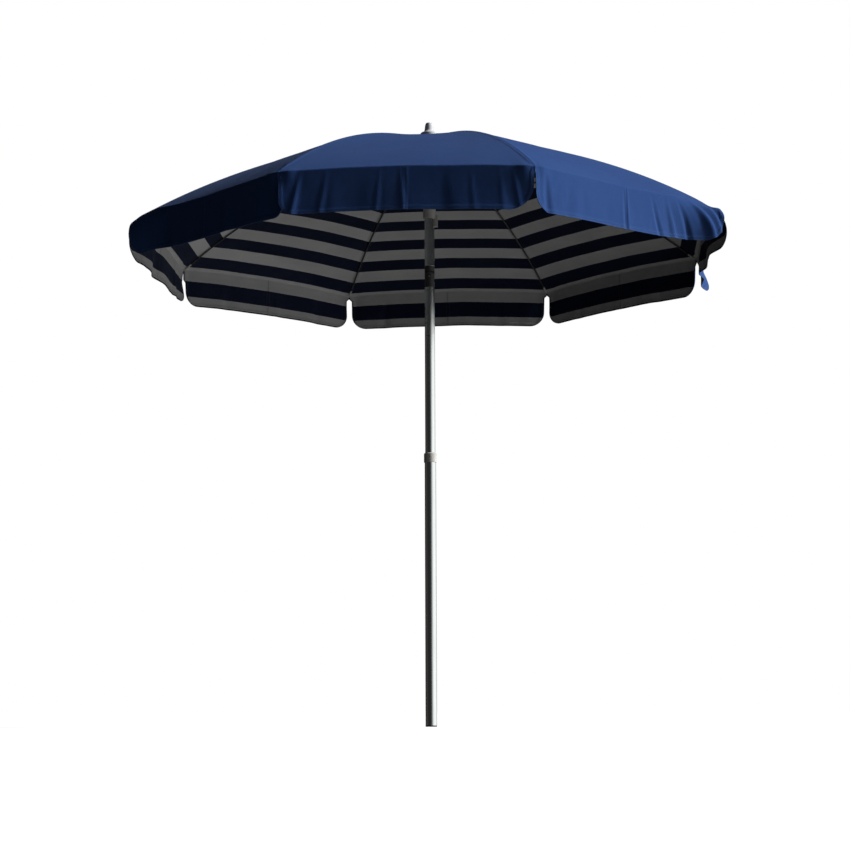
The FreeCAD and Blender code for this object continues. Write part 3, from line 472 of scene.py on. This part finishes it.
def make_striped():
    n, across, down, away, edge, stitch, groove_and_shade, fibre, faded = cloth_base("canopy_inside", 0.78)
    place = n.math("SUBTRACT", down, STRIPE_START)
    place = n.math("ADD", place, n.math("MULTIPLY", n.math("SUBTRACT", n.noise(120, 2), 0.5), 0.0012))
    dark = n.math("LESS_THAN", n.math("FRACT", n.math("DIVIDE", place, 2 * STRIPE)), 0.5)
    light = n.mix(n.ramp(faded, (0.3, 0.0), (0.7, 1.0)), (0.43, 0.435, 0.43), (0.49, 0.49, 0.48))
    light = n.mix(n.ramp(fibre, (0.40, 0.0), (0.68, 0.5)), light, (0.34, 0.345, 0.35))
    navy = n.mix(n.ramp(fibre, (0.4, 0.0), (0.7, 1.0)), (0.0085, 0.0115, 0.031), (0.013, 0.017, 0.040))
    body = n.mix(dark, light, navy)
    binding = n.math("LESS_THAN", edge, 0.0045)
    body = n.mix(binding, body, (0.010, 0.013, 0.032))
    seam_shade = n.ramp(away, (0.0, 0.5), (0.0015, 0.2), (0.003, 0.0))
    body = n.mix(seam_shade, body, (0.05, 0.05, 0.055))
    body = n.mix(n.math("MULTIPLY", stitch, 0.5), body, (0.13, 0.13, 0.14))
    # painted shade: the grooves are coloured near black
    body = n.mix(groove_and_shade, body, (0.01, 0.01, 0.012))
    n.to("Base Color", body)
    n.set(Specular_IOR_Level=0.06, Sheen_Weight=0.02, Sheen_Roughness=0.5)
    return n.material


def brushed(name, dark, bright, low, high, stretch=(1, 1, 0.02)):
    """Drawn or brushed metal, with fine lines along the piece and a few handling marks."""
    n = Nodes(name)
    lines = n.noise(420, 3, 0.6, stretch=stretch)
    marks = n.noise(9, 5, 0.65)
    n.to("Base Color", n.mix(n.ramp(lines, (0.3, 0.0), (0.7, 1.0)), dark, bright))
    spread = n.math("ADD", n.math("MULTIPLY", lines, high - low), low)
    smear = n.ramp(marks, (0.5, 0.0), (0.75, 0.10))
    n.to("Roughness", n.math("ADD", spread, smear))
    n.to("Normal", n.bump(lines, 0.00004, 0.35))
    n.set(Metallic=1.0)
    return n.material


def moulded(name, colour, worn, roughness, grain=1500, depth=0.00006):
    """Moulded plastic: a fine grain, slight unevenness of colour and paler scuffs."""
    n = Nodes(name)
    fine = n.noise(grain, 2, 0.5)
    broad = n.noise(35, 4, 0.6)
    scuffs = n.noise(160, 5, 0.75, stretch=(1, 1, 0.35))
    body = n.mix(n.ramp(broad, (0.35, 0.0), (0.7, 0.45)), colour, worn)
    body = n.mix(n.ramp(scuffs, (0.60, 0.0), (0.72, 0.7)), body, worn)
    n.to("Base Color", body)
    n.to("Roughness", n.ramp(scuffs, (0.4, roughness), (0.7, min(1.0, roughness + 0.18))))
    n.to("Normal", n.bump(fine, depth, 0.6))
    n.set(Specular_IOR_Level=0.5)
    return n.material


NAVY = make_navy()
STRIPED = make_striped()
CAP_CLOTH = make_cap_cloth()
LOOKS = {
    "pole_aluminium": brushed("pole_aluminium", (0.66, 0.68, 0.68), (0.80, 0.82, 0.82), 0.16, 0.26),
    "bright_steel": brushed("bright_steel", (0.42, 0.42, 0.41), (0.58, 0.58, 0.57), 0.26, 0.40,
                            (1, 1, 1)),
    "dark_metal": moulded("dark_metal", (0.030, 0.032, 0.034), (0.10, 0.10, 0.10), 0.42),
    "light_plastic": moulded("light_plastic", (0.50, 0.49, 0.46), (0.62, 0.61, 0.58), 0.40),
    "black_plastic": moulded("black_plastic", (0.016, 0.016, 0.017), (0.06, 0.06, 0.06), 0.45),
    "silver_plastic": moulded("silver_plastic", (0.52, 0.53, 0.54), (0.66, 0.66, 0.66), 0.24),
    "canopy_cloth": NAVY,
}

for node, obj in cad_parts.items():
    for place in obj.material_slots:
        name = place.material.name.split(".")[0] if place.material else ""
        found = next((look for key, look in LOOKS.items() if name.startswith(key)), None)
        if found is not None:
            place.material = found

# ---------------------------------------------------------------- turned pieces


def rounded(profile, radius, steps=5):
    """A closed profile of (distance from the axis, height) with its corners rounded. Each
    rounding has a row on either side of it, which keeps the long faces' shading straight."""
    corners = [Vector(point) for point in profile]
    result = []
    for i, corner in enumerate(corners):
        if corner.x < 1e-6:
            result.append(corner)
            continue
        back, on = corners[i - 1] - corner, corners[(i + 1) % len(corners)] - corner
        reach = min(radius, 0.42 * back.length, 0.42 * on.length)
        start = corner + back.normalized() * reach
        end = corner + on.normalized() * reach
        if back.length > 6 * reach:
            result.append(corner + back.normalized() * reach * 2)
        for t in np.linspace(0, 1, steps + 1).tolist():
            result.append((1 - t) ** 2 * start + 2 * t * (1 - t) * corner + t**2 * end)
        if on.length > 6 * reach:
            result.append(corner + on.normalized() * reach * 2)
    return result


def lathe(name, outline, steps=160):
    """A closed solid turned about the pole's axis from a closed outline."""
    mesh = bmesh.new()
    rings = []
    for point in outline:
        if point.x < 1e-6:
            rings.append([mesh.verts.new((0, 0, point.y))] * steps)
            continue
        turn = [2 * math.pi * i / steps for i in range(steps)]
        rings.append([mesh.verts.new((point.x * math.cos(a), point.x * math.sin(a), point.y))
                      for a in turn])
    for one, two in zip(rings, rings[1:] + rings[:1]):
        for i in range(steps):
            j = (i + 1) % steps
            corners = list(dict.fromkeys([one[i], one[j], two[j], two[i]]))
            if len(corners) > 2:
                mesh.faces.new(corners)
    bmesh.ops.recalc_face_normals(mesh, faces=mesh.faces)
    data = bpy.data.meshes.new(name)
    mesh.to_mesh(data)
    mesh.free()
    data.polygons.foreach_set("use_smooth", np.ones(len(data.polygons), bool))
    obj = bpy.data.objects.new(name, data)
    bpy.context.scene.collection.objects.link(obj)
    return obj


def turned(name, node, body, look, outline):
    obj = lathe(name, outline)
    obj.data.materials.append(LOOKS[look])
    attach(obj, body)
    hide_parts(node)


def make_tube(node, body, wall, neck=()):
    """A pole's tube. neck is the points of its outside where it narrows near its top."""
    low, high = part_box(node)
    outside = [(high.x, low.z), *(neck or [(high.x, high.z)])]
    profile = [(high.x - wall, low.z), *outside, (high.x - wall, high.z)]
    turned(f"{node}_tube", node, body, "pole_aluminium", rounded(profile, 0.0005))


LOW_WALL = 0.0012
TOP_WALL = 0.0015
NECK = 0.0186  # radius of the lower pole's neck, which the clamp collar turns on
pole_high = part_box("lower_pole")[1]
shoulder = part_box("clamp_collar")[0].z - 0.0005
make_tube("lower_pole", "lower_pole_body", LOW_WALL,
          [(pole_high.x, shoulder), (NECK, shoulder), (NECK, pole_high.z)])
make_tube("upper_pole", "upper_pole_body", TOP_WALL)
make_tube("canopy_pole", "canopy_pole_body", TOP_WALL)

finial_low, finial_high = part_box("finial")
FLARE = finial_high.x
TOP = finial_high.z
STUD = 0.004
turned("finial_cap", "finial", "canopy_pole_body", "silver_plastic", rounded([
    (0, finial_low.z), (STUD, finial_low.z), (STUD, TOP - 0.059), (FLARE - 0.002, TOP - 0.059),
    (FLARE, TOP - 0.056), (FLARE, TOP - 0.039), (FLARE - 0.004, TOP - 0.036),
    (0.0185, TOP - 0.033), (0.0155, TOP - 0.028), (0.0135, TOP - 0.010), (0.011, TOP - 0.0025),
    (0.0055, TOP), (0, TOP)], 0.0022))

# ---------------------------------------------------------------- canopy


def make_crown_cap():
    """The round patch of cloth over the crown, with a hem and a soft wave round its edge."""
    low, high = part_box("crown_patch")
    radius = high.x
    slope = (high.z - low.z - CLOTH) / (radius - STUD)
    reach = np.concatenate([np.linspace(STUD + 0.0001, radius - 0.0065, 26),
                            radius - np.array([0.0055, 0.0035, 0.0015, 0.0004, 0.0])])
    drop = (reach - STUD) * slope + 0.0016 * np.sin(math.pi * reach / radius)
    hem = np.where(reach > radius - 0.006, SEWN, 0.0) * np.where(reach > radius - 0.0003, 0.3, 1)
    top = [Vector((r, high.z - d + h / 2)) for r, d, h in zip(reach, drop, hem)]
    under = [Vector((r, high.z - CLOTH - d - h / 2)) for r, d, h in zip(reach, drop, hem)]
    cap = lathe("crown_cap", under + top[::-1], 192)
    points = np.zeros(len(cap.data.vertices) * 3)
    cap.data.vertices.foreach_get("co", points)
    points = points.reshape(-1, 3)
    turn = np.arctan2(points[:, 1], points[:, 0])
    share = (np.hypot(points[:, 0], points[:, 1]) / radius) ** 2.5
    pull = 1 - share * (0.030 * (1 + np.cos(8 * (turn - HALF))) / 2)
    points[:, :2] *= pull[:, None]
    points[:, 2] += share * (0.0011 * np.cos(8 * (turn - HALF)) - 0.0004
                             + 0.0004 * np.sin(3 * turn + 0.7))
    cap.data.vertices.foreach_set("co", points.ravel())
    cap.data.update()
    cap.data.materials.append(CAP_CLOTH)
    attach(cap, "canopy_pole_body")
    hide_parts("crown_patch")


make_crown_cap()

for k in range(1, 9):
    patches = []
    for points, normal, s, lateral, away in section_halves(k):
        hem = np.minimum(VALANCE - s, np.where(s > 0.004, away, 1.0))
        on_hem = (hem < BAND + 0.0002) & (s > 0.004)
        on_seam = (away < BAND + 0.0002) & (s < -0.012)
        on_join = (np.abs(lateral) < 0.008) & (s > 0.004)
        thick = CLOTH / 2 + np.where(on_hem | on_seam, SEWN, 0.0)
        thick = np.maximum(thick, np.where(on_join, CLOTH, 0.0))
        layers = [np.stack([lateral, s], -1), np.stack([away, hem], -1)]
        patches.append(sheet_patch(points, normal, thick, thick, layers))
    cloth = sheet_object(f"canopy_cloth_{k}", patches, ("cloth", "cut"))
    cloth.data.materials.append(NAVY)
    cloth.data.materials.append(STRIPED)
    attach(cloth, f"rib_{k}_body")
    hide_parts(f"canopy_section_{k}")
    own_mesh(cloth)

# ---------------------------------------------------------------- stage, light and camera


SIDE_LIGHT = 1.7  # how much stronger the soft light is from +X than from the middle
LEAST_LIGHT = 0.08  # the soft light's strength from the darkest side
FLOOR_RADIUS = 90


def make_floor():
    mesh = bpy.data.meshes.new("floor")
    turn = [2 * math.pi * i / 96 for i in range(96)]
    ring = [(FLOOR_RADIUS * math.cos(a), FLOOR_RADIUS * math.sin(a), 0) for a in turn]
    mesh.from_pydata(ring, [], [list(range(len(ring)))])
    floor = bpy.data.objects.new("floor", mesh)
    bpy.context.scene.collection.objects.link(floor)
    n = Nodes("floor")
    n.set(Roughness=0.9, Specular_IOR_Level=0.1)
    n.shader.inputs["Base Color"].default_value = (0.35, 0.35, 0.35, 1)
    n.shader.inputs["Emission Color"].default_value = (1, 1, 1, 1)
    n.shader.inputs["Emission Strength"].default_value = 0.72
    floor.data.materials.append(n.material)
    floor.visible_diffuse = False
    floor.visible_glossy = False


def world_ramp(tree, source, low, high, stops):
    """A colour that follows one number between low and high."""
    span = tree.nodes.new("ShaderNodeMapRange")
    span.inputs[1].default_value = low
    span.inputs[2].default_value = high
    tree.links.new(source, span.inputs[0])
    ramp = tree.nodes.new("ShaderNodeValToRGB")
    elements = ramp.color_ramp.elements
    while len(elements) < len(stops):
        elements.new(0.5)
    for element, (position, level) in zip(elements, stops):
        element.position = (position - low) / (high - low)
        element.color = (*level, 1)
    tree.links.new(span.outputs[0], ramp.inputs[0])
    return ramp.outputs[0]


def make_world():
    """The studio round the object: soft light that comes mostly from +X and from the floor,
    large white screens on the +X side that show in polished metal, and a white backdrop."""
    world = bpy.data.worlds.new("world")
    bpy.context.scene.world = world
    world.use_nodes = True
    tree = world.node_tree
    tree.nodes.clear()
    new, link = tree.nodes.new, tree.links.new
    split = new("ShaderNodeSeparateXYZ")
    link(new("ShaderNodeTexCoord").outputs["Generated"], split.inputs[0])
    soft = new("ShaderNodeBackground")
    link(world_ramp(tree, split.outputs["Z"], -1.0, 1.0, (
        (-1.0, (0.26, 0.26, 0.26)), (-0.6, (0.235, 0.235, 0.235)), (-0.3, (0.165, 0.165, 0.165)),
        (-0.05, (0.075, 0.075, 0.075)), (0.05, (0.050, 0.050, 0.050)),
        (0.4, (0.050, 0.052, 0.055)), (1.0, (0.075, 0.080, 0.090)))), soft.inputs["Color"])
    lean = new("ShaderNodeMath")
    lean.operation = "MULTIPLY_ADD"
    lean.inputs[1].default_value = SIDE_LIGHT
    lean.inputs[2].default_value = 1.0
    link(split.outputs["X"], lean.inputs[0])
    least = new("ShaderNodeMath")
    least.operation = "MAXIMUM"
    least.inputs[1].default_value = LEAST_LIGHT
    link(lean.outputs[0], least.inputs[0])
    link(least.outputs[0], soft.inputs["Strength"])
    screens = new("ShaderNodeBackground")
    link(world_ramp(tree, split.outputs["X"], -1.0, 1.0, (
        (-1.0, (0.055, 0.05, 0.045)), (-0.8, (0.022, 0.022, 0.022)), (0.0, (0.026, 0.028, 0.028)),
        (0.26, (0.07, 0.075, 0.075)), (0.60, (0.62, 0.64, 0.63)), (0.82, (1.18, 1.20, 1.19)),
        (1.0, (1.28, 1.30, 1.29)))), screens.inputs["Color"])
    back = new("ShaderNodeBackground")
    back.inputs["Color"].default_value = (1, 1, 1, 1)
    path = new("ShaderNodeLightPath")
    lit = new("ShaderNodeMixShader")
    link(path.outputs["Is Glossy Ray"], lit.inputs[0])
    link(soft.outputs[0], lit.inputs[1])
    link(screens.outputs[0], lit.inputs[2])
    seen = new("ShaderNodeMixShader")
    link(path.outputs["Is Camera Ray"], seen.inputs[0])
    link(lit.outputs[0], seen.inputs[1])
    link(back.outputs[0], seen.inputs[2])
    link(seen.outputs[0], new("ShaderNodeOutputWorld").inputs[0])


def sun(name, elevation, azimuth, strength, spread):
    data = bpy.data.lights.new(name, "SUN")
    data.energy = strength
    data.angle = spread
    lamp = bpy.data.objects.new(name, data)
    bpy.context.scene.collection.objects.link(lamp)
    flat = math.cos(elevation)
    away = Vector((flat * math.cos(azimuth), flat * math.sin(azimuth), math.sin(elevation)))
    lamp.rotation_mode = "QUATERNION"
    lamp.rotation_quaternion = away.to_track_quat("Z", "Y")
    lamp.visible_glossy = False


make_floor()
make_world()
sun("key", math.radians(30), 0, 6.15, math.radians(12))

camera_data = bpy.data.cameras.new("camera")
camera_data.lens = 86.645
camera_data.sensor_width = 36
camera_data.clip_end = 500
camera = bpy.data.objects.new("camera", camera_data)
bpy.context.scene.collection.objects.link(camera)
pitch = math.radians(7.978)
heading = Vector((-0.0776, 0.9970, 0)).normalized() * math.cos(pitch)
camera.location = (0.510, -6.777, 0.049)
camera.rotation_mode = "QUATERNION"
aim = (heading + Vector((0, 0, math.sin(pitch)))).to_track_quat("-Z", "Y")
camera.rotation_quaternion = aim @ Quaternion((0, 0, 1), math.radians(-0.2))
bpy.context.scene.camera = camera
bpy.context.scene.view_settings.view_transform = "Standard"
